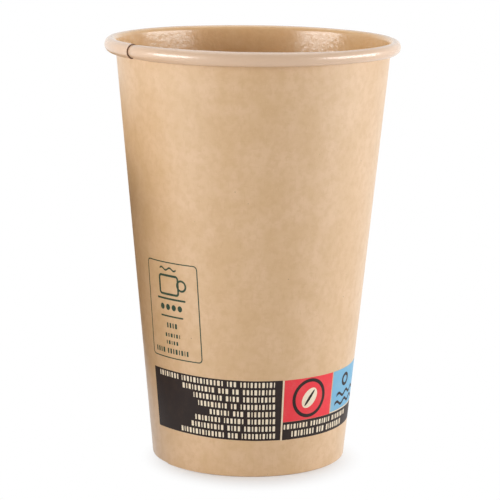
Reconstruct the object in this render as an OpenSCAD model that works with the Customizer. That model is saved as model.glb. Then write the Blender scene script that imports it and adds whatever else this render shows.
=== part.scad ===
// A rolled paper hot-drink cup: one fan-shaped board wrapped into a cone, with a lapped side seam,
// a rolled rim and a folded foot that clamps the skirt of a recessed bottom disc.
// Millimetres, +Z up, origin on the cup's axis at the level of the surface that it stands on.

/* [Cup] */
// Overall height, from the foot to the top of the rolled rim
cup_h = 130; // [90:1:180]
// Outer diameter of the rolled rim, where the rim is a single ply
rim_d = 90; // [70:0.5:100]
// Outer diameter of the foot
foot_d = 60; // [48:0.5:66]

/* [Side wall board] */
// Thickness of the side wall board
wall_t = 0.38; // [0.3:0.01:0.45]
// How far the outer end of the board stands out at the lap, once the seam is pressed
seam_step = 0.24; // [0.15:0.01:0.26]
// Where the inner end of the board lies, counted anticlockwise from +X, degrees
seam_deg = 215.2; // [0:0.1:359]
// How far the outer end of the board laps over the inner end, degrees
lap_deg = 10; // [6:1:16]

/* [Rolled rim] */
// Radius of the curl where it turns over the top of the wall
curl_top_r = 1.5; // [1.2:0.05:1.9]
// Radius of the curl along its outer side
curl_side_r = 2.1; // [1.9:0.05:2.6]
// Radius of the curl where it tucks in under the rim
curl_under_r = 1.0; // [0.95:0.05:1.2]
// How far round the rim the curl takes to ease from its two-ply size to its one-ply size, degrees
ease_deg = 100; // [40:10:160]
// Number of steps in which the curl eases
ease_steps = 10; // [4:1:16]

/* [Foot and bottom disc] */
// Thickness of the bottom board
disc_t = 0.3; // [0.28:0.02:0.4]
// Height of the underside of the bottom disc above the foot
recess_h = 9; // [7:0.5:14]
// Height of the raw edge of the folded hem above the foot
hem_h = 7.4; // [4:0.2:12]
// Radius of the bend between the disc and its skirt, on the drink side
disc_bend_r = 0.9; // [0.5:0.1:1.5]
// Height above the foot at which the lapped end of the board is notched, to leave the hem one ply
notch_h = 1.6; // [1.2:0.2:3]

/* [Hidden] */
$fn = 144;

// Turns of the curl: angles about the three centres at which one radius gives way to the next
curl_side_from = 60;
curl_under_from = -60;
curl_end = -230;
// Longest step between two points of a bend
bend_step = 15;
// Half of the fold's turn that standing has pressed flat
land_half = 25;
// Straight wall below the curl that every ply shares
neck_h = 1;
// Directions of a bend's points, and how far the fold's middle points lie to each side of its foot
up = 90;
half_turn = 180;
down = 270;
fold_mid = 60;

// The curl's first centre sits under the top of the rim, inside the outer edge of the rim
top_c = [
    rim_d / 2 - curl_side_r + (curl_side_r - curl_top_r) * cos(curl_side_from),
    cup_h - curl_top_r
];
// The hem's fold: the slot that holds the skirt is as wide as the bottom board
fold_r = disc_t / 2;
fold_z = (fold_r + wall_t) * cos(land_half);
// Lean of the wall away from the axis, the same for every ply, skirt and hem
wall_a = atan((top_c.x - curl_top_r - (foot_d / 2 - wall_t)) / (top_c.y - fold_z));
// Across the wall, from its drink side to its outer side
across = [cos(wall_a), -sin(wall_a)];
// The height on the drink side at which the curl leaves the wall, and its radius there
curl_from = top_c - curl_top_r * across;
// Outlines are kept to this grid, so that two sweeps that meet share their corners exactly
grid = 0.0001;
function on_grid(v) = round(v / grid) * grid;
// The step at the seam measured level, in two equal parts on the grid
level_step = 2 * on_grid(seam_step / cos(wall_a) / 2);

// Radius of the drink side of the wall at height z
function wall_r(z) = curl_from.x - (curl_from.y - z) * tan(wall_a);

// Points [place, unit normal] along an arc, from one angle to the other. The normal points away from
// the centre where side is 1, and towards it where side is -1.
function bend(c, r, from, to, side) =
    let (n = ceil(abs(to - from) / bend_step))
    [for (i = [0:n])
        let (a = from + (to - from) * i / n, u = [cos(a), sin(a)])
        [c + r * u, side * u]];

// The board's drink side from the hem's raw edge, down, round the foot and up to the curl
fold_c = [wall_r(fold_z) - fold_r / cos(wall_a), fold_z];
hem_foot = [fold_c - fold_r * across, -across];
hem_top = [
    [hem_foot[0].x + (hem_h - hem_foot[0].y) * tan(wall_a), hem_h],
    -across
];
foot_turns = [
    half_turn - wall_a,
    down - fold_mid,
    down - land_half,
    down + land_half,
    down + fold_mid,
    2 * half_turn - wall_a
];
function foot_bend() = [for (a = foot_turns)
    let (u = [cos(a), sin(a)])
    [fold_c + fold_r * u, u]];

// The curl, with every radius larger by grow, and its centres as much further out from the wall
function curl(grow) =
    let (
        first_c = top_c + [grow / cos(wall_a), 0],
        side_c = first_c - (curl_side_r - curl_top_r) * [cos(curl_side_from), sin(curl_side_from)],
        under_c = side_c + (curl_side_r - curl_under_r) * [cos(curl_under_from), sin(curl_under_from)]
    )
    concat(
        bend(first_c, curl_top_r + grow, half_turn - wall_a, curl_side_from, -1),
        bend(side_c, curl_side_r + grow, curl_side_from, curl_under_from, -1),
        bend(under_c, curl_under_r + grow, curl_under_from, curl_end, -1)
    );

// One face of a board: the places of a line of [place, normal], moved t along the normals
function face(line, t) = [for (p = line) [on_grid(p[0].x + t * p[1].x), on_grid(p[0].y + t * p[1].y)]];
function moved_out(points, out) = [for (p = points) p + [out, 0]];
function reversed(points) = [for (i = [len(points) - 1:-1:0]) points[i]];

// The board's drink side in two stretches that share the point at the notch: the foot, and the rest
notch = [[wall_r(notch_h), notch_h], across];
neck = [[wall_r(curl_from.y - neck_h), curl_from.y - neck_h], across];
foot_line = concat([hem_top], foot_bend(), [notch]);
function rim_line(grow) = concat([notch, neck], curl(grow));

// One ply of the board, hem to curl, moved out by out
function board(grow, out) =
    moved_out(concat(
        face(foot_line, 0),
        face(rim_line(grow), 0),
        reversed(face(rim_line(grow), wall_t)),
        reversed(face(foot_line, wall_t))
    ), out);

// The lap: one ply at the foot, and two above the notch, rolled together into one larger curl
lap = concat(
    face(foot_line, 0),
    face(rim_line(seam_step), 0),
    moved_out(reversed(face(rim_line(0), wall_t)), level_step),
    reversed(face(foot_line, wall_t))
);

// Sweeps an outline round the cup's axis. The turn starts at from, counted clockwise from the
// board's inner end, which is the way that the board wraps.
module sweep_ring(from, turn, outline) {
    rotate_extrude(angle = turn, start = seam_deg - from - turn)
        polygon(outline);
}

// The wrap's second half turns about a centre half a step nearer to the seam, so that the board
// comes back to the seam further out, with no kink where the two half turns meet
module second_half() {
    translate([cos(seam_deg), sin(seam_deg), 0] * level_step / 2)
        children();
}

module side_wall() {
    ease_turn = ease_deg / ease_steps;
    color("burlywood") {
        sweep_ring(0, lap_deg, lap);
        for (i = [0:ease_steps - 1])
            let (left = 1 - (i + 0.5) / ease_steps)
            sweep_ring(lap_deg + i * ease_turn, ease_turn, board(seam_step * left, 0));
        sweep_ring(lap_deg + ease_deg, half_turn - lap_deg - ease_deg, board(0, 0));
        second_half()
            sweep_ring(half_turn, half_turn, board(0, level_step / 2));
    }
}

// The disc's drink side from the axis to the bend, and down the skirt to the fold
function disc(out) =
    let (
        top_z = recess_h + disc_t,
        bend_z = top_z - disc_bend_r,
        bend_c = [wall_r(bend_z) - disc_bend_r / cos(wall_a), bend_z],
        skirt_foot = [fold_c + fold_r * across, across],
        line = concat(bend(bend_c, disc_bend_r, up, -wall_a, 1), [skirt_foot])
    )
    concat(
        [[0, top_z]],
        moved_out(face(line, 0), out),
        moved_out(reversed(face(line, -disc_t)), out),
        [[0, recess_h]]
    );

module bottom_disc() {
    color("tan") {
        sweep_ring(0, half_turn, disc(0));
        second_half()
            sweep_ring(half_turn, half_turn, disc(level_step / 2));
    }
}

side_wall();
bottom_disc();
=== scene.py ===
"""Looks of a rolled paper hot-drink cup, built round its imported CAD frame.

Metres, +Z up, origin on the cup's axis at the level of the surface that it stands on. The front of
the cup faces -Y. Sizes of the board are given in millimetres and turned to metres by MM.
"""

import logging
import math
from contextlib import contextmanager
from dataclasses import dataclass
from enum import Enum
from typing import Callable, Iterator

import bmesh
import bpy
import numpy as np
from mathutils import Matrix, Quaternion, Vector


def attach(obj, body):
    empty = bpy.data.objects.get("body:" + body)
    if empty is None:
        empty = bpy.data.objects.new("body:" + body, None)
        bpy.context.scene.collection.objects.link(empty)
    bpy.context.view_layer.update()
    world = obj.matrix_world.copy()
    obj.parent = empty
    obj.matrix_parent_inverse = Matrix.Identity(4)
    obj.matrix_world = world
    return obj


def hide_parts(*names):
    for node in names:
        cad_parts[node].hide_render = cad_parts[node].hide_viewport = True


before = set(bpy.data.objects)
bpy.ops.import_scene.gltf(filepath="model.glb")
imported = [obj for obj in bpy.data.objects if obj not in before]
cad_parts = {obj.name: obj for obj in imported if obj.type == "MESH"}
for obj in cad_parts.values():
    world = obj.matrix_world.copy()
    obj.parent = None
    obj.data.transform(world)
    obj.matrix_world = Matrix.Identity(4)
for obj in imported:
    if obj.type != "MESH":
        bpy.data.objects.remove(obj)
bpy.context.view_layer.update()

log = logging.getLogger("paper_cup")

MM = 0.001
FRONT = 270.0
FULL_TURN = 360.0
HALF_TURN = 180.0
PHOTO_PX = 500.0
WHITE = (1.0, 1.0, 1.0, 1.0)
# Height of the cup's middle, in metres, and of the middle of the print's band, in mm
MIDDLE_Z = 0.065
BAND_Z = 21.0

Point = tuple[float, float]
Triple = tuple[float, float, float]


class Side(Enum):
    """The faces of a board, by the material slot that each takes."""

    DRINK = 0
    OUTSIDE = 1
    RAW_EDGE = 2


def linear(hex_code: str) -> tuple[float, float, float, float]:
    """Turns an sRGB hex colour to linear.

    Args:
        hex_code: Six hex digits.

    Returns:
        Linear red, green and blue, and an alpha of 1.
    """
    parts = [int(hex_code[i:i + 2], 16) / 255 for i in (0, 2, 4)]
    curve = [c / 12.92 if c <= 0.04045 else ((c + 0.055) / 1.055) ** 2.4 for c in parts]
    return (curve[0], curve[1], curve[2], 1.0)


def add_node(
    tree: bpy.types.NodeTree, kind: str, inputs: dict[str | int, object] | None = None, **settings: object
) -> bpy.types.Node:
    """Adds a shader node with its settings, values and links.

    Args:
        tree: The node tree that takes it.
        kind: The node's type, without the leading "ShaderNode".
        inputs: For each input, by name or number, a value or the output socket that feeds it.
        settings: Attributes of the node.

    Returns:
        The new node.
    """
    made = tree.nodes.new("ShaderNode" + kind)
    for key, value in settings.items():
        setattr(made, key, value)
    for key, value in (inputs or {}).items():
        if isinstance(value, bpy.types.NodeSocket):
            tree.links.new(value, made.inputs[key])
        else:
            made.inputs[key].default_value = value
    return made


# The Mix node's own sockets for colours, by number
MIX_A, MIX_B, MIX_OUT = 6, 7, 2
COLOUR_MIX = {"data_type": "RGBA", "clamp_factor": True}


def new_material(name: str) -> tuple[bpy.types.Material, bpy.types.NodeTree]:
    """Makes an empty node material.

    Args:
        name: What the surface is.

    Returns:
        The material and its node tree.
    """
    material = bpy.data.materials.new(name)
    material.use_nodes = True
    material.node_tree.nodes.clear()
    return material, material.node_tree


@dataclass(frozen=True)
class BoardFinish:
    """Cup board: wood pulp pressed to a sheet, bare or under a thin drink-proof film.

    The eye gets cloudy formation, short fibres that lie across each other, a few bark specks, and a
    dull surface where the board is bare or a soft gloss with a faint orange peel under the film.
    """

    name: str
    pulp: str
    pale_pulp: str
    dark_pulp: str
    roughness: float
    film: float = 0.0
    film_roughness: float = 0.22
    fibre_strength: float = 0.5
    fibre_relief_mm: float = 0.03
    peel_mm: float = 0.0
    speck_share: float = 1.0
    ior: float = 1.5
    sheen: float = 0.0
    # Painted sheen: the film is drawn paler round the rolled rim, from one radius to another, in mm
    painted_rim_sheen: str = ""
    painted_rim_sheen_radii: Point = (42.0, 43.4)
    painted_rim_sheen_share: float = 0.85
    speck: str = "7A5A3A"

    # Real sizes in mm: clouds of formation, short mottle, fibres, bark specks and the film's peel.
    # Fibres are 0.03 mm thick in the real board, and are drawn about ten times as coarse to show.
    cloud_mm: float = 9.0
    mottle_mm: float = 2.2
    fibre_width_mm: float = 0.42
    fibre_length_mm: float = 2.6
    speck_mm: float = 4.2
    speck_radius: float = 0.085
    peel_size_mm: float = 1.3

    # The noise value at which each grain starts to show and is full, and how much it shows there.
    # Fibres lie upright, leaning and level.
    cloud_show: Triple = (0.38, 0.62, 0.8)
    mottle_show: Triple = (0.44, 0.64, 0.4)
    upright_show: Triple = (0.6, 0.74, 0.55)
    leaning_show: Triple = (0.6, 0.74, 0.5)
    level_show: Triple = (0.62, 0.76, 0.5)
    # The same for a speck, by how far a place is inside it, in parts of a cell
    speck_show: Triple = (0.0, 0.025, 0.6)

    def build(self) -> bpy.types.Material:
        """Builds the material.

        Returns:
            The material, with its colour, roughness and relief from noises.
        """
        material, tree = new_material(self.name)
        place = add_node(tree, "TexCoord").outputs["Object"]
        width = self.fibre_width_mm
        slim = width / self.fibre_length_mm
        still, even = (0.0, 0.0, 0.0), (1.0, 1.0, 1.0)

        # For each noise: its grain's size, its detail, a seed, and how its place is turned and scaled
        noises = [
            (self.cloud_mm, 3.0, 0.11, still, even),
            (self.mottle_mm, 3.0, 0.23, still, even),
            (width, 1.0, 0.37, (0.1, 0.05, 0.0), (1.0, 1.0, slim)),
            (width, 1.0, 0.53, (0.6, 0.5, 0.3), (1.0, slim, 1.0)),
            (width, 1.0, 0.71, (0.0, 0.0, 0.6), (slim, slim * 2, 1.0)),
        ]
        if self.peel_mm:
            noises.append((self.peel_size_mm, 1.0, 0.91, still, even))
        values = []
        for size_mm, detail, seed, turn, scale in noises:
            moved = add_node(tree, "Mapping", {
                "Vector": place, "Location": (seed, 0.7 * seed, 1.3 * seed), "Rotation": turn, "Scale": scale,
            })
            values.append(add_node(tree, "TexNoise", {
                "Vector": moved.outputs["Vector"], "Scale": 1 / (size_mm * MM), "Detail": detail,
                "Roughness": 0.55,
            }).outputs["Fac"])
        clouds, mottle, upright, leaning, level, *peel = values

        cells = add_node(tree, "TexVoronoi", {
            "Vector": place, "Scale": 1 / (self.speck_mm * MM), "Randomness": 1.0,
        }, feature="F1")
        radius = add_node(tree, "MapRange", {
            "Value": cells.outputs["Color"], "From Min": 0.55, "From Max": 1.0,
            "To Min": 0.0, "To Max": self.speck_radius * self.speck_share,
        })
        inside = add_node(tree, "Math", {
            0: radius.outputs["Result"], 1: cells.outputs["Distance"],
        }, operation="SUBTRACT")

        # For each colour over the pulp: what steers it, where it starts and is full, and its share
        fibres = self.fibre_strength
        tones = [
            (clouds, self.cloud_show, 1.0, self.pale_pulp),
            (mottle, self.mottle_show, 1.0, self.dark_pulp),
            (upright, self.upright_show, fibres, self.dark_pulp),
            (leaning, self.leaning_show, fibres, self.pale_pulp),
            (level, self.level_show, fibres, self.dark_pulp),
        ]
        # Painted sheen: the colour goes paler on the rolled rim, by the distance from the axis
        if self.painted_rim_sheen:
            level_place = add_node(tree, "VectorMath", {0: place, 1: (1.0, 1.0, 0.0)}, operation="MULTIPLY")
            far = add_node(tree, "VectorMath", {0: level_place.outputs["Vector"]}, operation="LENGTH")
            low, high = self.painted_rim_sheen_radii
            show = (low * MM, high * MM, self.painted_rim_sheen_share)
            tones.append((far.outputs["Value"], show, 1.0, self.painted_rim_sheen))
        tones.append((inside.outputs["Value"], self.speck_show, 1.0, self.speck))
        colour = linear(self.pulp)
        for value, (start, full, share), strength, tone in tones:
            factor = add_node(tree, "MapRange", {
                "Value": value, "From Min": start, "From Max": full,
                "To Min": 0.0, "To Max": share * strength,
            })
            colour = add_node(tree, "Mix", {
                0: factor.outputs["Result"], MIX_A: colour, MIX_B: linear(tone),
            }, **COLOUR_MIX).outputs[MIX_OUT]

        relief = upright
        for fibre in (leaning, level):
            relief = add_node(tree, "Math", {0: relief, 1: fibre}, operation="ADD").outputs["Value"]
        bump = add_node(tree, "Bump", {
            "Height": relief, "Strength": 0.5, "Distance": self.fibre_relief_mm * MM,
        }).outputs["Normal"]
        for height in peel:
            bump = add_node(tree, "Bump", {
                "Height": height, "Strength": 1.0, "Distance": self.peel_mm * MM, "Normal": bump,
            }).outputs["Normal"]
        dull = add_node(tree, "MapRange", {
            "Value": mottle, "From Min": 0.35, "From Max": 0.65,
            "To Min": self.roughness - 0.05, "To Max": self.roughness + 0.06,
        })
        shader = add_node(tree, "BsdfPrincipled", {
            "Base Color": colour,
            "Roughness": dull.outputs["Result"],
            "IOR": self.ior,
            "Normal": bump,
            "Coat Weight": self.film,
            "Coat Roughness": self.film_roughness,
            "Coat IOR": self.ior,
            "Coat Normal": bump,
            "Sheen Weight": self.sheen,
            "Sheen Roughness": 0.5,
        })
        add_node(tree, "OutputMaterial", {"Surface": shader.outputs["BSDF"]})
        return material


@dataclass(frozen=True)
class InkFinish:
    """Water-based flexo ink on kraft: thin and satin, with the board's grain coming through."""

    name: str
    ink: str
    thin_ink: str
    roughness: float = 0.5
    ior: float = 1.45
    gloss: float = 0.3
    # Pin-holes of the print are under 0.1 mm, and are drawn three times as coarse to show
    grain_mm: float = 0.35
    cloud_mm: float = 3.5
    relief_mm: float = 0.02

    def build(self) -> bpy.types.Material:
        """Builds the material.

        Returns:
            The material, with thinner ink where its noises are high.
        """
        material, tree = new_material(self.name)
        place = add_node(tree, "TexCoord").outputs["Object"]
        grain, cloud = (
            add_node(tree, "TexNoise", {
                "Vector": place, "Scale": 1 / (size * MM), "Detail": 2.0,
            }).outputs["Fac"]
            for size in (self.grain_mm, self.cloud_mm)
        )
        both = add_node(tree, "Math", {0: grain, 1: cloud}, operation="ADD")
        thin = add_node(tree, "MapRange", {
            "Value": both.outputs["Value"], "From Min": 0.95, "From Max": 1.3, "To Min": 0.0, "To Max": 0.7,
        })
        colour = add_node(tree, "Mix", {
            0: thin.outputs["Result"], MIX_A: linear(self.ink), MIX_B: linear(self.thin_ink),
        }, **COLOUR_MIX)
        dull = add_node(tree, "MapRange", {
            "Value": grain, "From Min": 0.3, "From Max": 0.7,
            "To Min": self.roughness - 0.06, "To Max": self.roughness + 0.08,
        })
        bump = add_node(tree, "Bump", {
            "Height": grain, "Strength": 0.35, "Distance": self.relief_mm * MM,
        })
        shader = add_node(tree, "BsdfPrincipled", {
            "Base Color": colour.outputs[MIX_OUT],
            "Roughness": dull.outputs["Result"],
            "IOR": self.ior,
            "Specular IOR Level": self.gloss,
            "Normal": bump.outputs["Normal"],
        })
        add_node(tree, "OutputMaterial", {"Surface": shader.outputs["BSDF"]})
        return material


def activate(piece: bpy.types.Object) -> None:
    """Selects a piece alone, and makes it the active one.

    Args:
        piece: The piece.
    """
    bpy.ops.object.select_all(action="DESELECT")
    piece.select_set(True)
    bpy.context.view_layer.objects.active = piece


@contextmanager
def editing(piece: bpy.types.Object) -> Iterator[None]:
    """Opens a piece in edit mode, with vertices, edges and faces selectable, and closes it again.

    Args:
        piece: The mesh object to edit.

    Yields:
        Nothing, while the piece is open.
    """
    activate(piece)
    bpy.ops.object.mode_set(mode="EDIT")
    bpy.context.tool_settings.mesh_select_mode = (True, True, True)
    try:
        yield
    finally:
        bpy.ops.object.mode_set(mode="OBJECT")


def choose(piece: bpy.types.Object, wanted: Callable[[Vector], bool]) -> None:
    """Selects the faces of a piece in edit mode whose middle is wanted, and nothing else.

    Args:
        piece: The piece, in edit mode.
        wanted: Says for a face's middle whether the face is selected.
    """
    bpy.ops.mesh.select_all(action="DESELECT")
    mesh = bmesh.from_edit_mesh(piece.data)
    for face in mesh.faces:
        if wanted(face.calc_center_median()):
            face.select_set(True)
    bmesh.update_edit_mesh(piece.data)


def named(name: str) -> bpy.types.Object:
    """Names the primitive that was just added.

    Args:
        name: Its name, for the object and its mesh.

    Returns:
        The primitive.
    """
    made = bpy.context.active_object
    made.name = name
    made.data.name = name
    return made


def finish_modifier(piece: bpy.types.Object, kind: str, **settings: object) -> None:
    """Adds a modifier to a piece and applies it.

    Args:
        piece: The piece.
        kind: The modifier's type.
        settings: Its values.
    """
    activate(piece)
    modifier = piece.modifiers.new(kind.lower(), kind)
    for key, value in settings.items():
        setattr(modifier, key, value)
    bpy.ops.object.modifier_apply(modifier=modifier.name)


def thicken(board: bpy.types.Object, finishes: tuple[BoardFinish, BoardFinish, BoardFinish]) -> None:
    """Gives a flat board its thickness, down to z -1, and a finish for each of its faces.

    The finishes go on first, because the modifier only knows the slots that are there.

    Args:
        board: The flat board.
        finishes: In the order of Side.
    """
    for finish in finishes:
        board.data.materials.append(finish.build())
    finish_modifier(
        board, "SOLIDIFY", thickness=1.0, offset=-1.0, use_rim=True,
        material_offset=Side.OUTSIDE.value, material_offset_rim=Side.RAW_EDGE.value,
    )


def bend_vertices(piece: bpy.types.Object, place: Callable[[np.ndarray], np.ndarray]) -> None:
    """Moves all vertices of a piece at once, and turns its faces outwards if that mirrored it.

    Args:
        piece: A closed mesh.
        place: Takes and returns the vertices, as rows of three numbers.
    """
    count = len(piece.data.vertices)
    flat = np.empty(count * 3)
    piece.data.vertices.foreach_get("co", flat)
    moved = place(flat.reshape(count, 3))
    piece.data.vertices.foreach_set("co", moved.astype(np.float32).ravel())
    mesh = bmesh.new()
    mesh.from_mesh(piece.data)
    if mesh.calc_volume(signed=True) < 0:
        bmesh.ops.reverse_faces(mesh, faces=mesh.faces[:])
    mesh.to_mesh(piece.data)
    mesh.free()
    piece.data.update()


def smooth(piece: bpy.types.Object, sharp_over: float) -> None:
    """Shades a piece smooth, apart from edges that turn by more than sharp_over degrees."""
    activate(piece)
    bpy.ops.object.shade_smooth_by_angle(angle=math.radians(sharp_over))


def keep_line(shape: bpy.types.Object, line_mm: float) -> None:
    """Keeps the outer line of a flat shape, and clears what is inside it.

    Args:
        shape: One flat face.
        line_mm: The line's width.
    """
    with editing(shape):
        bpy.ops.mesh.select_all(action="SELECT")
        bpy.ops.mesh.inset(thickness=line_mm * MM)
        bpy.ops.mesh.delete(type="FACE")


def cut_strips(first: float, last: float, count: int) -> None:
    """Cuts the flat piece that is in edit mode into equal strips.

    Args:
        first: Where the first strip begins along x, in metres.
        last: Where the last strip ends.
        count: How many strips there are.
    """
    for i in range(1, count):
        bpy.ops.mesh.select_all(action="SELECT")
        bpy.ops.mesh.bisect(
            plane_co=(first + (last - first) * i / count, 0.0, 0.0), plane_no=(1.0, 0.0, 0.0)
        )


@dataclass(frozen=True)
class CupShape:
    """The cup's construction, in millimetres and degrees."""

    height: float = 130.0
    rim_radius: float = 45.0
    foot_radius: float = 30.0
    board: float = 0.38
    seam_step: float = 0.24
    seam: float = 215.2
    lap: float = 10.0
    curl_top: float = 1.5
    curl_side: float = 2.1
    curl_under: float = 1.0
    curl_turns: Triple = (60.0, -60.0, -230.0)
    base_board: float = 0.3
    recess: float = 9.0
    hem: float = 7.4
    disc_bend: float = 0.9
    notch: float = 1.6
    land_half: float = 25.0

    @property
    def top_centre(self) -> Point:
        """Centre of the curl's first turn, over the top of the wall."""
        inward = (self.curl_side - self.curl_top) * math.cos(math.radians(self.curl_turns[0]))
        return (self.rim_radius - self.curl_side + inward, self.height - self.curl_top)

    @property
    def fold_radius(self) -> float:
        """Radius of the hem's fold on the drink side: half the skirt that it holds."""
        return self.base_board / 2

    @property
    def fold_z(self) -> float:
        """Height of the fold's centre, so that its pressed land lies on the ground."""
        return (self.fold_radius + self.board) * math.cos(math.radians(self.land_half))

    @property
    def lean(self) -> float:
        """Works out how far the wall leans away from the axis.

        Returns:
            The lean, in radians.
        """
        centre = self.top_centre
        run = centre[0] - self.curl_top - (self.foot_radius - self.board)
        return math.atan(run / (centre[1] - self.fold_z))

    @property
    def across(self) -> np.ndarray:
        """Direction from the drink side of the wall to its outside, in the profile's plane."""
        return np.array([math.cos(self.lean), -math.sin(self.lean)])

    @property
    def curl_from(self) -> np.ndarray:
        """The point at which the curl leaves the wall, on the drink side."""
        return np.array(self.top_centre) - self.curl_top * self.across

    @property
    def level_step(self) -> float:
        """The seam's step measured level."""
        return self.seam_step / math.cos(self.lean)

    def wall_radius(self, z: float | np.ndarray) -> float | np.ndarray:
        """Radius of the drink side of the wall at height z."""
        return self.curl_from[0] - (self.curl_from[1] - z) * math.tan(self.lean)

    def outside_radius(self, z: float | np.ndarray) -> float | np.ndarray:
        """Radius of the outside of the wall at height z."""
        return self.wall_radius(z) + self.board / math.cos(self.lean)

    def wrap(self, turn: float | np.ndarray) -> tuple[np.ndarray, np.ndarray, np.ndarray]:
        """Centre and growth of the wrap.

        The first half turn is round the cup's axis, and the second round a centre half a step nearer
        to the seam, so that the sheet comes back to the seam one step further out.

        Args:
            turn: Degrees clockwise from the inner end of the board, 0 to 370.

        Returns:
            The centre's x and y, and how far the sheet stands out from there.
        """
        seam = math.radians(self.seam)
        half = self.level_step / 2
        second = (turn > HALF_TURN) & (turn <= FULL_TURN)
        lapped = turn > FULL_TURN
        centre_x = np.where(second, half * math.cos(seam), 0.0)
        centre_y = np.where(second, half * math.sin(seam), 0.0)
        return centre_x, centre_y, np.where(second, half, np.where(lapped, 2 * half, 0.0))


def heading(degrees: float | np.ndarray) -> np.ndarray:
    """Unit directions at these angles from the level, as rows if there are many."""
    return np.stack([np.cos(np.radians(degrees)), np.sin(np.radians(degrees))], axis=-1)


def arc(centre: np.ndarray, radius: float, start: float, end: float, step: float) -> np.ndarray:
    """Stations along a bend.

    Args:
        centre: The bend's centre, radius and height.
        radius: The bend's radius, in mm.
        start: First angle, in degrees.
        end: Last angle.
        step: Longest step between two stations.

    Returns:
        Rows of x, z and the unit direction away from the centre.
    """
    count = math.ceil(abs(end - start) / step)
    away = heading(np.linspace(start, end, count + 1))
    return np.hstack([centre + radius * away, away])


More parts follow.
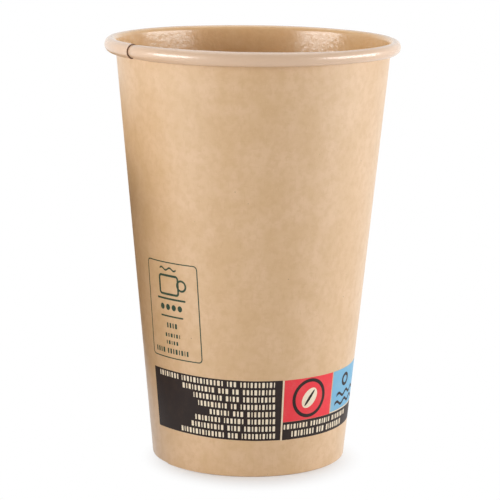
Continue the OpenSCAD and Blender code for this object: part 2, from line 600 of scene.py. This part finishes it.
@dataclass(frozen=True)
class SideWall:
    """The side wall: one blank of kraft board, rolled, lapped, curled at the rim and hemmed."""

    shape: CupShape
    column_turn: float = 1.25
    bend_step: float = 9.0
    curl_step: float = 7.0
    curl_end_step: float = 10.5
    # Heights of the board's rows in mm: on the hem under its raw edge, and on the wall
    hem_rows: tuple[float, ...] = (4.0, 1.5)
    wall_rows: tuple[float, ...] = (
        0.9, 1.6, 3.0, 6.0, 10.0, 18.0, 28.0, 40.0, 52.0, 64.0, 76.0, 88.0, 100.0, 110.0, 118.0,
        123.0, 126.0, 127.6,
    )
    # In the lap both plies are pressed to this thickness in mm, and the outer one steps out by as
    # much. The board eases to it over these degrees, after the lap and before it.
    pressed: float = 0.305
    ease_after: float = 3.0
    ease_before: float = 4.0
    # Size of the curl round the rim: degrees right of the front, and mm that its radii grow by.
    # It eases from the two plies at the seam to a slimmer roll at the right.
    curl_sizes: tuple[Point, ...] = (
        (-54.8, -0.14), (-54.0, -0.13), (-52.6, -0.02), (-51.0, 0.1), (-48.0, 0.15), (-40.0, 0.2),
        (-25.0, 0.2), (-8.0, 0.14), (8.0, 0.08), (22.0, 0.02), (32.0, -0.06), (45.0, -0.07),
        (60.0, -0.06), (90.0, 0.0), (150.0, 0.03), (195.0, 0.0), (245.0, 0.08), (285.0, 0.2),
        (295.0, 0.235), (305.2, 0.239),
    )
    # The roll wavers round the rim: mm, waves in a turn and degrees, and is calm near the seam
    wavers: tuple[Triple, ...] = ((0.012, 7.0, 0.0), (0.008, 17.0, 40.0))
    calm_turn: float = 8.0

    def curl_growth(self, turn: float) -> float:
        """How much larger than nominal the curl's radii are.

        Args:
            turn: Degrees clockwise from the inner end of the board.

        Returns:
            The growth, in mm.
        """
        if turn > FULL_TURN:
            return self.curl_sizes[0][1]
        degrees, growths = zip(*self.curl_sizes)
        place = self.shape.seam - FRONT + (FULL_TURN - turn)
        waver = sum(mm * math.sin(math.radians(waves * place + start)) for mm, waves, start in self.wavers)
        near_seam = min(1.0, min(turn, FULL_TURN - turn) / self.calm_turn)
        return float(np.interp(place, degrees, growths)) + waver * near_seam

    def stand_off(self, turn: float) -> float:
        """How far the sheet moves out beyond its wrap, where it climbs on the lap's inner ply."""
        climb = self.pressed - self.shape.seam_step
        return climb * float(np.interp(turn, [FULL_TURN - self.ease_before, FULL_TURN], [0.0, 1.0]))

    def thickness(self, turn: float) -> float:
        """Thickness of the board, which is pressed thinner in the lap.

        Args:
            turn: Degrees clockwise from the inner end of the board.

        Returns:
            The thickness, in mm.
        """
        lap, board = self.shape.lap, self.shape.board
        stops = [0.0, lap, lap + self.ease_after, FULL_TURN - self.ease_before, FULL_TURN]
        return float(np.interp(turn, stops, [self.pressed, self.pressed, board, board, self.pressed]))

    def stations(self, grow: float, out: float) -> np.ndarray:
        """The board's drink side from the hem's raw edge, round the foot and up to the curl's end.

        Args:
            grow: How much larger the curl's radii are, in mm.
            out: How far the whole profile stands out, in mm.

        Returns:
            Rows of x, z and the unit direction to the outside of the board.
        """
        s = self.shape
        across = s.across
        lean = math.degrees(s.lean)
        fold = np.array([s.wall_radius(s.fold_z) - s.fold_radius / math.cos(s.lean), s.fold_z])
        hem_foot = fold - s.fold_radius * across
        hem = [
            [hem_foot[0] + (z - hem_foot[1]) * math.tan(s.lean), z, *(-across)]
            for z in (s.hem, *self.hem_rows)
        ]
        left = arc(fold, s.fold_radius, HALF_TURN - lean, FRONT - s.land_half, self.bend_step)
        right = arc(fold, s.fold_radius, FRONT + s.land_half, FULL_TURN - lean, self.bend_step)
        wall = [[s.wall_radius(z), z, *across] for z in self.wall_rows]
        profile = np.vstack([hem, left, right, wall])

        first_turn, second_turn, last_turn = s.curl_turns
        first = np.array(s.top_centre) + [grow / math.cos(s.lean), 0.0]
        second = first - (s.curl_side - s.curl_top) * heading(first_turn)
        third = second + (s.curl_side - s.curl_under) * heading(second_turn)
        curl = np.vstack([
            arc(first, s.curl_top + grow, HALF_TURN - lean, first_turn, self.curl_step),
            arc(second, s.curl_side + grow, first_turn, second_turn, self.curl_step)[1:],
            arc(third, s.curl_under + grow, second_turn, last_turn, self.curl_end_step)[1:],
        ])
        curl[:, 2:] *= -1
        profile = np.vstack([profile, curl])
        profile[:, 0] += out / math.cos(s.lean)
        return profile

    def build(self) -> list[bpy.types.Object]:
        """Cuts the flat blank, gives it its thickness and rolls it to the cup.

        Returns:
            The finished side wall, alone in a list.
        """
        s = self.shape
        columns = round((FULL_TURN + s.lap) / self.column_turn)
        profile = self.stations(0.0, 0.0)
        rows = len(profile) - 1
        bpy.ops.object.select_all(action="DESELECT")
        bpy.ops.mesh.primitive_grid_add(
            x_subdivisions=columns, y_subdivisions=rows, size=1.0, location=(0.5, 0.5, 0.0)
        )
        wall = named("side_wall_board")
        bpy.ops.object.transform_apply(location=True)

        # The outer ply has no hem: it is cut off at the notch, the first row of the wall that high
        whole_turn = (FULL_TURN / self.column_turn) / columns
        past_hem = np.arange(rows + 1) > len(self.hem_rows) + 1
        over_notch = (profile[:, 1] >= s.notch - 1e-6) & (profile[:, 2] > 0)
        notch_row = int(np.argmax(over_notch & past_hem)) / rows
        with editing(wall):
            choose(wall, lambda p: p.x > whole_turn and p.y < notch_row)
            bpy.ops.mesh.delete(type="FACE")
            bpy.ops.mesh.select_all(action="SELECT")

        thicken(wall, (DRINK_SIDE, OUTSIDE, RAW_EDGE))
        turns = np.arange(columns + 1) * self.column_turn
        sheets = np.stack([self.stations(self.curl_growth(t), self.stand_off(t)) for t in turns])
        depths = np.array([self.thickness(t) for t in turns])

        def roll(flat: np.ndarray) -> np.ndarray:
            """Rolls the flat blank: along x round the cup, along y up its profile.

            Args:
                flat: The blank's vertices, in the unit square, at z 0 and -1.

            Returns:
                Their places on the cup, in metres.
            """
            column = np.rint(flat[:, 0] * columns).astype(int)
            row = np.rint(flat[:, 1] * rows).astype(int)
            station = sheets[column, row]
            depth = np.where(flat[:, 2] < -0.5, depths[column], 0.0)
            centre_x, centre_y, out = s.wrap(turns[column])
            radius = station[:, 0] + depth * station[:, 2] + out
            angle = np.radians(s.seam - turns[column])
            return MM * np.stack([
                centre_x + radius * np.cos(angle),
                centre_y + radius * np.sin(angle),
                station[:, 1] + depth * station[:, 3],
            ], axis=1)

        bend_vertices(wall, roll)
        smooth(wall, sharp_over=42.0)
        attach(wall, "root")
        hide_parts("side_wall")
        return [wall]


@dataclass(frozen=True)
class BottomDisc:
    """The bottom: a round blank of board drawn into a shallow tray, with its skirt turned down."""

    shape: CupShape
    segments: int = 180
    bend_step: float = 9.0
    clearance: float = 0.01
    flat_rings: tuple[float, ...] = (0.0, 6.0, 12.0, 18.0, 23.0, 27.0)
    skirt_rows: tuple[float, ...] = (6.0, 3.0)
    skirt_gap: float = 0.1

    def stations(self) -> np.ndarray:
        """The board's drink side from the middle, over the bend and down the skirt.

        Returns:
            Rows of radius, z and the unit direction into the board.
        """
        s = self.shape
        top = s.recess + s.base_board
        bend_z = top - s.disc_bend
        bend_x = s.wall_radius(bend_z) - s.disc_bend / math.cos(s.lean) - self.clearance
        flat = [[radius, top, 0.0, -1.0] for radius in self.flat_rings]
        bend = arc(
            np.array([bend_x, bend_z]), s.disc_bend, 90.0, -math.degrees(s.lean), self.bend_step
        )
        bend[:, 2:] *= -1
        heights = (*self.skirt_rows, s.fold_z + self.skirt_gap)
        skirt = [[s.wall_radius(z) - self.clearance, z, *(-s.across)] for z in heights]
        return np.vstack([flat, bend, skirt])

    def build(self) -> list[bpy.types.Object]:
        """Cuts the round blank, gives it its thickness and draws it into a tray.

        Returns:
            The finished bottom, alone in a list.
        """
        s = self.shape
        profile = self.stations()
        rings = len(profile) - 1
        bpy.ops.object.select_all(action="DESELECT")
        bpy.ops.mesh.primitive_circle_add(vertices=self.segments, radius=1.0, fill_type="NGON")
        disc = named("bottom_disc_board")
        with editing(disc):
            bpy.context.tool_settings.mesh_select_mode = (False, False, True)
            bpy.ops.mesh.select_all(action="SELECT")
            for _ in range(rings - 1):
                bpy.ops.mesh.inset(thickness=1 / rings)
            bpy.ops.mesh.poke()
        thicken(disc, (BASE_FILM, BASE_UNDERSIDE, RAW_EDGE))

        def draw_tray(flat: np.ndarray) -> np.ndarray:
            """Draws the flat blank: each ring takes its place on the tray's profile.

            The skirt follows the wrap of the wall, and the middle stays on the axis.

            Args:
                flat: The blank's vertices, in the unit circle, at z 0 and -1.

            Returns:
                Their places in the cup, in metres.
            """
            far = np.hypot(flat[:, 0], flat[:, 1])
            station = profile[np.rint(far * rings).astype(int)]
            depth = np.where(flat[:, 2] < -0.5, s.base_board - self.clearance, 0.0)
            radius = station[:, 0] + depth * station[:, 2]
            turn = (s.seam - np.degrees(np.arctan2(flat[:, 1], flat[:, 0]))) % FULL_TURN
            centre_x, centre_y, out = s.wrap(turn)
            share = np.clip(station[:, 0] / s.foot_radius, 0.0, 1.0) ** 4
            unit = flat[:, :2] / np.maximum(far, 1e-9)[:, None]
            return MM * np.stack([
                radius * unit[:, 0] + share * (centre_x + out * unit[:, 0]),
                radius * unit[:, 1] + share * (centre_y + out * unit[:, 1]),
                station[:, 1] + depth * station[:, 3],
            ], axis=1)

        bend_vertices(disc, draw_tray)
        smooth(disc, sharp_over=40.0)
        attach(disc, "root")
        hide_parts("bottom_disc")
        return [disc]


@dataclass(frozen=True)
class Bar:
    """A level bar with rounded corners, in mm."""

    left: float
    right: float
    low: float
    high: float
    corner: float = 0.0

    def draw(self) -> None:
        """Adds the bar flat in the ground plane, as x across and y up."""
        bpy.ops.mesh.primitive_plane_add(size=1.0)
        shape = bpy.context.active_object
        shape.scale = ((self.right - self.left) * MM, (self.high - self.low) * MM, 1.0)
        shape.location = ((self.left + self.right) / 2 * MM, (self.low + self.high) / 2 * MM, 0.0)
        bpy.ops.object.transform_apply(location=True, scale=True)
        if self.corner:
            with editing(shape):
                bpy.ops.mesh.select_all(action="SELECT")
                bpy.ops.mesh.bevel(offset=self.corner * MM, segments=4, affect="VERTICES")


@dataclass(frozen=True)
class Outline(Bar):
    """A thin line round a rounded rectangle, in mm."""

    line: float = 0.3

    def draw(self) -> None:
        """Adds the outline flat in the ground plane."""
        super().draw()
        keep_line(bpy.context.active_object, self.line)


@dataclass(frozen=True)
class Oval:
    """An oval, filled or as a ring of a given line, in mm and degrees."""

    x: float
    z: float
    wide: float
    tall: float
    line: float = 0.0
    tilt: float = 0.0
    points: int = 48

    def draw(self) -> None:
        """Adds the oval flat in the ground plane."""
        bpy.ops.mesh.primitive_circle_add(vertices=self.points, radius=0.5, fill_type="NGON")
        shape = bpy.context.active_object
        shape.scale = (self.wide * MM, self.tall * MM, 1.0)
        shape.rotation_euler = (0.0, 0.0, math.radians(self.tilt))
        shape.location = (self.x * MM, self.z * MM, 0.0)
        bpy.ops.object.transform_apply(location=True, rotation=True, scale=True)
        if self.line:
            keep_line(shape, self.line)


@dataclass(frozen=True)
class Ripple:
    """A level wavy stroke, in mm."""

    left: float
    right: float
    z: float
    line: float
    rise: float
    length: float
    strips: int = 12

    def draw(self) -> None:
        """Adds the stroke flat in the ground plane."""
        Bar(self.left, self.right, self.z - self.line / 2, self.z + self.line / 2).draw()
        shape = bpy.context.active_object
        strips = round((self.right - self.left) / self.length * self.strips)
        with editing(shape):
            cut_strips(self.left * MM, self.right * MM, strips)
        for vertex in shape.data.vertices:
            along = (vertex.co.x / MM - self.left) / self.length
            vertex.co.y += self.rise * MM * math.sin(2 * math.pi * along)


class Spread(Enum):
    """How a print goes round the tapered wall: a band of equal angles, or a patch of true sizes."""

    BAND = "band"
    PATCH = "patch"


@dataclass(frozen=True)
class InkLayer:
    """One ink of the print: its shapes, and where they lie on the wall.

    The middle is in degrees right of the front, and the lift in mm.
    """

    name: str
    finish: InkFinish
    shapes: tuple[Bar | Oval | Ripple, ...]
    middle: float = 0.0
    spread: Spread = Spread.BAND
    lift: float = 0.02


@dataclass(frozen=True)
class Print:
    """The print on the wall: fields of colour, bars and plain shapes, as thin films of ink."""

    shape: CupShape
    layers: tuple[InkLayer, ...]
    cut_mm: float = 0.6
    film_mm: float = 0.012
    # The band climbs a little away from the front: degrees right of the front, and mm
    climb: tuple[Point, ...] = (
        (-60.0, 0.5), (-47.0, 0.6), (-35.0, 0.5), (-15.0, 0.22), (3.0, 0.0), (20.0, -0.05),
        (32.0, 0.05), (48.0, 0.12), (62.0, 0.3), (85.0, 0.7),
    )

    def build(self) -> list[bpy.types.Object]:
        """Prints every layer, and returns the films of ink."""
        return [self.print_layer(layer) for layer in self.layers]

    def print_layer(self, layer: InkLayer) -> bpy.types.Object:
        """Draws a layer flat, cuts it into narrow strips, and lays it on the wall.

        Args:
            layer: The ink and its shapes.

        Returns:
            The film of ink.
        """
        drawn = []
        for item in layer.shapes:
            bpy.ops.object.select_all(action="DESELECT")
            item.draw()
            drawn.append(bpy.context.active_object)
        bpy.ops.object.select_all(action="DESELECT")
        for one in drawn:
            one.select_set(True)
        bpy.context.view_layer.objects.active = drawn[0]
        if len(drawn) > 1:
            bpy.ops.object.join()
        film = named(layer.name)
        xs = [v.co.x for v in film.data.vertices]
        first, last = min(xs), max(xs)
        with editing(film):
            cut_strips(first, last, math.ceil((last - first) / (self.cut_mm * MM)))
            bpy.ops.mesh.select_all(action="SELECT")
            bpy.ops.mesh.normals_make_consistent(inside=False)
        finish_modifier(film, "SOLIDIFY", thickness=1.0, offset=-1.0, use_rim=True)
        s = self.shape
        band_radius = float(s.outside_radius(BAND_Z))

        def lay(flat: np.ndarray) -> np.ndarray:
            """Lays flat ink on the wall's outside.

            Args:
                flat: The film's vertices, in metres across and up, at z 0 and -1.

            Returns:
                Their places on the cup, in metres.
            """
            across, height = flat[:, 0] / MM, flat[:, 1] / MM
            radius = s.outside_radius(height)
            bend = np.full_like(radius, band_radius) if layer.spread is Spread.BAND else radius
            angle = FRONT + layer.middle + np.degrees(across / bend)
            if layer.spread is Spread.BAND:
                degrees, rises = zip(*self.climb)
                height = height + np.interp(angle - FRONT, degrees, rises)
                radius = s.outside_radius(height)
            turn = s.seam - angle + FULL_TURN
            centre_x, centre_y, out = s.wrap(turn)
            top = np.abs(flat[:, 2]) < 0.5
            lifted = radius + out + layer.lift - np.where(top, 0.0, self.film_mm)
            way = np.radians(angle)
            return MM * np.stack([
                centre_x + lifted * np.cos(way), centre_y + lifted * np.sin(way), height,
            ], axis=1)

        bend_vertices(film, lay)
        smooth(film, sharp_over=30.0)
        film.data.materials.append(layer.finish.build())
        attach(film, "root")
        return film


@dataclass(frozen=True)
class Softbox:
    """A large soft light, placed by its bearing from the cup, in degrees, metres and watts."""

    name: str
    bearing: float
    elevation: float
    distance: float
    width: float
    height: float
    power: float

    def place(self) -> None:
        """Adds the light, facing the middle of the cup and out of the picture."""
        lamp = bpy.data.lights.new(self.name, "AREA")
        lamp.shape = "RECTANGLE"
        lamp.size, lamp.size_y, lamp.energy = self.width, self.height, self.power
        holder = bpy.data.objects.new(self.name, lamp)
        bpy.context.scene.collection.objects.link(holder)
        turn, rise = math.radians(self.bearing), math.radians(self.elevation)
        level = math.cos(rise)
        away = Vector((math.sin(turn) * level, -math.cos(turn) * level, math.sin(rise)))
        holder.location = Vector((0.0, 0.0, MIDDLE_Z)) + away * self.distance
        holder.rotation_mode = "QUATERNION"
        holder.rotation_quaternion = (-away).to_track_quat("-Z", "Y")
        holder.visible_camera = False


@dataclass(frozen=True)
class FeltCard:
    """A sheet of brown felt that stands out of the picture at the cup's left, and shades its limb."""

    name: str = "brown_card"
    left_mm: float = 80.0
    front_mm: float = -42.0
    back_mm: float = 230.0
    high_mm: float = 99.0
    felt: str = "A58866"

    def place(self) -> None:
        """Stands the card on the table."""
        bpy.ops.object.select_all(action="DESELECT")
        bpy.ops.mesh.primitive_plane_add(size=1.0)
        card = named(self.name)
        card.scale = (self.high_mm * MM, (self.back_mm - self.front_mm) * MM, 1.0)
        card.rotation_euler = (0.0, math.radians(90.0), 0.0)
        middle_mm = (self.front_mm + self.back_mm) / 2
        card.location = (-self.left_mm * MM, middle_mm * MM, self.high_mm / 2 * MM)
        bpy.ops.object.transform_apply(location=True, rotation=True, scale=True)
        # Wool felt: dull from every side, so its light on the cup is warm and soft
        material, tree = new_material("brown_wool_felt")
        felt = add_node(tree, "BsdfDiffuse", {"Color": linear(self.felt)})
        add_node(tree, "OutputMaterial", {"Surface": felt.outputs[0]})
        card.data.materials.append(material)
        card.visible_camera = False


@dataclass(frozen=True)
class PhotoView:
    """The camera that takes the photograph, fitted to the cup's edges."""

    focal_px: float = 2233.7
    distance: float = 0.6934
    elevation: float = 10.853
    roll: float = 0.752
    centre_px: Point = (250.64, 247.33)
    aim_z: float = MIDDLE_Z
    sensor_mm: float = 36.0


@dataclass(frozen=True)
class Studio:
    """White table, white surround, three soft boxes, a felt card and the camera."""

    boxes: tuple[Softbox, ...] = (
        Softbox("softbox_left", -62.0, 10.0, 0.8, 0.54, 0.28, 4.7),
        Softbox("softbox_right", 83.0, 10.0, 0.8, 0.72, 0.3, 5.2),
        Softbox("softbox_top", 178.0, 74.0, 0.95, 0.9, 0.9, 3.4),
    )
    card: FeltCard = FeltCard()
    surround: float = 0.26
    # The table's own glow, as the camera sees it, grows from none to plain white between these
    # distances in mm, from a place a little right and in front of the cup
    glow_reach: Point = (18.5, 39.0)
    shadow_right_mm: float = 1.6
    shadow_forward_mm: float = 7.5
    shadow_wide: float = 1.1
    table_colour: str = "F4F5F7"
    table_radius: float = 4.5
    table_drop_mm: float = 0.04
    opening_mm: float = 27.0

    def light(self) -> None:
        """Adds the soft boxes and the surround, which the camera sees as white."""
        for box in self.boxes:
            box.place()
        self.card.place()
        world = bpy.data.worlds.new("white_surround")
        bpy.context.scene.world = world
        world.use_nodes = True
        tree = world.node_tree
        tree.nodes.clear()
        seen = self.seen_directly(tree)
        fill = add_node(tree, "Background", {"Color": WHITE, "Strength": self.surround})
        white = add_node(tree, "Background", {"Color": WHITE, "Strength": 1.0})
        mix = add_node(tree, "MixShader", {0: seen, 1: fill.outputs[0], 2: white.outputs[0]})
        add_node(tree, "OutputWorld", {"Surface": mix.outputs[0]})

    def seen_directly(self, tree: bpy.types.NodeTree) -> bpy.types.NodeSocket:
        """Tells rays from the camera, from a gloss or through a surface.

        Args:
            tree: The node tree that takes the nodes.

        Returns:
            The socket of a factor that is 1 for such rays.
        """
        rays = add_node(tree, "LightPath").outputs
        seen = rays["Is Camera Ray"]
        for ray in ("Is Glossy Ray", "Is Transmission Ray"):
            seen = add_node(tree, "Math", {0: seen, 1: rays[ray]}, operation="MAXIMUM").outputs["Value"]
        return seen

    def table(self) -> None:
        """Lays the white table, which keeps the cup's shadow and can be seen through from below.

        It is open under the foot, where the cup hides it, so that the cup's underside has light.
        """
        bpy.ops.object.select_all(action="DESELECT")
        bpy.ops.mesh.primitive_circle_add(
            vertices=96, radius=self.table_radius, fill_type="NGON",
            location=(0.0, 0.0, -self.table_drop_mm * MM),
        )
        top = named("table")
        bpy.ops.object.transform_apply(location=True)
        with editing(top):
            bpy.context.tool_settings.mesh_select_mode = (False, False, True)
            bpy.ops.mesh.select_all(action="SELECT")
            bpy.ops.mesh.inset(thickness=self.table_radius - self.opening_mm * MM)
            bpy.ops.mesh.delete(type="FACE")
        # Matt white laminate: a clean pale ground that takes the cup's soft shadow and has no gloss
        material, tree = new_material("matt_white_laminate")
        matt = add_node(tree, "BsdfDiffuse", {"Color": linear(self.table_colour)})
        glow = add_node(tree, "Emission", {"Color": WHITE, "Strength": 1.0})
        place = add_node(tree, "Mapping", {
            "Vector": add_node(tree, "TexCoord").outputs["Object"],
            "Location": (-self.shadow_right_mm * MM, self.shadow_forward_mm * MM, 0.0),
            "Scale": (self.shadow_wide, 1.0, 1.0),
        })
        far = add_node(tree, "VectorMath", {0: place.outputs["Vector"]}, operation="LENGTH")
        near, plain = self.glow_reach
        reach = add_node(tree, "MapRange", {
            "Value": far.outputs["Value"], "From Min": near * MM, "From Max": plain * MM,
            "To Min": 0.0, "To Max": 1.0,
        }, interpolation_type="SMOOTHSTEP")
        share = add_node(tree, "Math", {
            0: self.seen_directly(tree), 1: reach.outputs["Result"],
        }, operation="MULTIPLY")
        mix = add_node(tree, "MixShader", {0: share.outputs["Value"], 1: matt.outputs[0], 2: glow.outputs[0]})
        clear = add_node(tree, "BsdfTransparent")
        under = add_node(tree, "NewGeometry").outputs["Backfacing"]
        both = add_node(tree, "MixShader", {0: under, 1: mix.outputs[0], 2: clear.outputs[0]})
        add_node(tree, "OutputMaterial", {"Surface": both.outputs[0]})
        top.data.materials.append(material)

    def camera(self, view: PhotoView) -> None:
        """Sets up the camera at the photograph's viewing angle.

        Args:
            view: The fitted view.
        """
        data = bpy.data.cameras.new("camera")
        data.sensor_width = view.sensor_mm
        data.lens = view.focal_px / PHOTO_PX * view.sensor_mm
        data.shift_x = -(view.centre_px[0] - PHOTO_PX / 2) / PHOTO_PX
        data.shift_y = (view.centre_px[1] - PHOTO_PX / 2) / PHOTO_PX
        data.clip_start, data.clip_end = 0.01, 50.0
        holder = bpy.data.objects.new("camera", data)
        bpy.context.scene.collection.objects.link(holder)
        rise = math.radians(view.elevation)
        away = Vector((0.0, -math.cos(rise), math.sin(rise)))
        holder.location = Vector((0.0, 0.0, view.aim_z)) + away * view.distance
        holder.rotation_mode = "QUATERNION"
        level = (-away).to_track_quat("-Z", "Y")
        holder.rotation_quaternion = level @ Quaternion((0.0, 0.0, 1.0), math.radians(view.roll))
        bpy.context.scene.camera = holder


# Kraft cup board under its extruded film: soft gloss, a faint peel, and a painted sheen on the rim
DRINK_SIDE = BoardFinish(
    name="film_coated_kraft_board", pulp="DFB176", pale_pulp="E3B981", dark_pulp="D7A76D",
    painted_rim_sheen="CFB096", roughness=0.45, film=1.0, film_roughness=0.21, fibre_strength=0.25,
    fibre_relief_mm=0.015, peel_mm=0.07, speck_share=0.7,
)
# The same board's outside, pressed smooth between rollers: a dull sheen on clouds and fibres
OUTSIDE = BoardFinish(
    name="calendered_kraft_board", pulp="CBA679", pale_pulp="D4B088", dark_pulp="C1996B",
    roughness=0.5, film=1.0, film_roughness=0.42, fibre_strength=0.65, fibre_relief_mm=0.02,
)
# The board's cut edge: open pulp and matt; its dark brown is painted shade, for the gaps beside the edge
RAW_EDGE = BoardFinish(
    name="raw_board_edge_painted_shade", pulp="7A5642", pale_pulp="8E6A52", dark_pulp="5C4232",
    roughness=0.8, fibre_strength=1.0, speck_share=0.0, sheen=0.05,
)
# The thinner board of the bottom under a thin film: low gloss, fibres in plain sight
BASE_FILM = BoardFinish(
    name="film_coated_base_board", pulp="DAAE76", pale_pulp="E2BA86", dark_pulp="CDA067",
    roughness=0.55, film=0.4, film_roughness=0.3, fibre_strength=0.35, peel_mm=0.04,
)
# Its bare side: matt, with the most fibres
BASE_UNDERSIDE = BoardFinish(
    name="bare_base_board", pulp="D8AE7C", pale_pulp="E0BC8E", dark_pulp="C69A68",
    roughness=0.66, fibre_strength=0.6,
)
# The printer's inks, each with the tone of its thin spots, where the board comes through
BLACK_INK = InkFinish("black_ink", "201411", "33241C")
RED_INK = InkFinish("red_ink", "E43A44", "DF5555")
BLUE_INK = InkFinish("blue_ink", "72ABCB", "8BB1C4")
GREEN_INK = InkFinish("green_ink", "2C4234", "48553F", roughness=0.55)
CREAM_INK = InkFinish("cream_ink", "EADCC4", "DCC7A8")


def band_mm(degrees: float) -> float:
    """Length on the print's band of an angle from its middle, in mm."""
    return math.radians(degrees) * float(CupShape().outside_radius(BAND_Z))


# Sizes of the rows of bars in mm: the widths in turn, the gaps after a bar and after a group, the
# part of the last gaps that the row's length leaves out, and the rounding of a bar's corners
BAR_WIDTHS = (0.71, 0.49, 0.3, 0.79, 0.6, 0.39, 0.67)
BAR_GAP = 0.532
GROUP_GAP = 0.75
ROW_TAIL = 1.15
BAR_CORNER = 0.14


def blocks(left: float, top: float, high: float, words: tuple[int, ...]) -> tuple[list[Bar], float]:
    """A row of small upright bars in groups, as plain as a bar code.

    Args:
        left: Where the row starts, in mm.
        top: The row's upper edge.
        high: The row's height.
        words: How many bars each group has.

    Returns:
        The bars, and where the row ends.
    """
    bars = []
    x = left
    for group, count in enumerate(words):
        for i in range(count):
            wide = BAR_WIDTHS[(3 * group + 2 * i + count) % len(BAR_WIDTHS)]
            bars.append(Bar(x, x + wide, top - high, top, corner=BAR_CORNER))
            x += wide + BAR_GAP
        x += GROUP_GAP
    return bars, x - ROW_TAIL


def bar_rows() -> tuple[Bar, ...]:
    """Draws the cream rows of the black field: eight of unlike lengths, flush at the right.

    Returns:
        The bars of all rows.
    """
    rows = (
        (8, 13, 3, 10), (10, 3, 2, 9), (9, 4, 9), (9, 2, 10), (6, 3, 8), (8, 6, 8), (10, 4, 9), (14, 3, 10),
    )
    top, pitch, high = 30.05, 2.32, 1.62
    bars = []
    for i, row in enumerate(rows):
        z = top - i * pitch
        right = band_mm(14.2 + 0.17 * i)
        _, end = blocks(0.0, z, high, row)
        bars += blocks(right - end, z, high, row)[0]
    return tuple(bars)


def strip_bars() -> tuple[Bar, ...]:
    """Draws the cream rows of the black strip.

    Returns:
        The bars of both rows.
    """
    first, _ = blocks(band_mm(20.0), 16.4, 1.55, (8, 8, 8))
    second, _ = blocks(band_mm(24.8), 14.1, 1.8, (8, 3, 8))
    return tuple(first + second)


def cup_mark() -> tuple[Bar | Oval | Ripple, ...]:
    """Draws the thin frame with a plain cup, four dots and rows of bars in it.

    Returns:
        Its shapes, in mm from the frame's middle and from the ground.
    """
    rows = (
        (-2.4, 46.3, 1.6, (4,)), (-3.3, 43.0, 1.2, (6,)), (-3.0, 40.7, 1.2, (5,)), (-8.2, 38.2, 1.6, (4, 8)),
    )
    return (
        Outline(-10.3, 10.3, 35.05, 65.3, corner=1.3, line=0.34),
        Outline(-4.9, 3.4, 54.9, 61.4, corner=1.2, line=0.7),
        Oval(4.3, 58.4, 3.8, 3.8, line=0.65),
        Bar(-6.0, 5.6, 53.5, 54.1, corner=0.25),
        Ripple(-4.2, 2.6, 63.1, 0.55, 0.4, 3.4),
        *(Oval(x, 51.2, 1.7, 1.9) for x in (-3.9, -1.5, 0.9, 3.3)),
        Bar(-4.8, 4.4, 48.1, 48.6, corner=0.2),
        *(bar for row in rows for bar in blocks(*row)[0]),
    )


def cup_print() -> tuple[InkLayer, ...]:
    """Draws the print's layers, from the wall outwards.

    Returns:
        The layers, in mm along the band from its middle and from the ground.
    """
    band_left, band_right = band_mm(-60.3), band_mm(18.2)
    red_left, red_right = band_mm(19.3), band_mm(51.2)
    blue_left, blue_right = band_mm(51.9), band_mm(84.5)
    ring_x, ring_z = band_mm(34.9), 24.0
    circle_x = band_mm(66.0) - 0.4
    black = InkLayer("print_black", BLACK_INK, (
        Bar(band_left, band_right, 11.6, 30.55),
        Bar(red_left, blue_right, 11.5, 17.2),
    ))
    red = InkLayer("print_red", RED_INK, (Bar(red_left, red_right, 17.25, 30.5),))
    blue = InkLayer("print_blue", BLUE_INK, (Bar(blue_left, blue_right, 17.55, 30.45),))
    green = InkLayer("print_green", GREEN_INK, cup_mark(), middle=-42.1, spread=Spread.PATCH)
    cream = InkLayer("print_cream", CREAM_INK, bar_rows() + strip_bars() + (
        Oval(ring_x, ring_z, 4.6, 6.8, tilt=-35.0),
        Bar(blue_left - 0.2, blue_right, 17.2, 17.5),
        Bar(band_mm(18.45), band_mm(19.1), 11.5, 30.5),
    ), lift=0.036)
    marks = InkLayer("print_marks", BLACK_INK, (
        Oval(ring_x, ring_z, 11.9, 12.3, line=1.05),
        Oval(ring_x, ring_z, 0.9, 5.8, tilt=-35.0),
        Ripple(blue_left + 2.0, blue_right - 1.5, 19.6, 0.85, 0.6, 5.2),
        Ripple(blue_left + 2.8, blue_right - 1.5, 22.2, 0.85, 0.6, 5.2),
        Oval(circle_x, 26.6, 4.4, 4.2, line=0.95),
    ), lift=0.05)
    return (black, red, blue, green, cream, marks)


def main() -> None:
    """Builds the cup's pieces in order, then the studio round them."""
    logging.basicConfig(level=logging.INFO, format="%(message)s")
    bpy.context.scene.view_settings.view_transform = "Standard"
    shape = CupShape()
    for part in (SideWall(shape), BottomDisc(shape), Print(shape, cup_print())):
        for piece in part.build():
            log.info("%s: %d faces", piece.name, len(piece.data.polygons))
    studio = Studio()
    studio.light()
    studio.table()
    studio.camera(PhotoView())


if __name__ == "__main__":
    main()
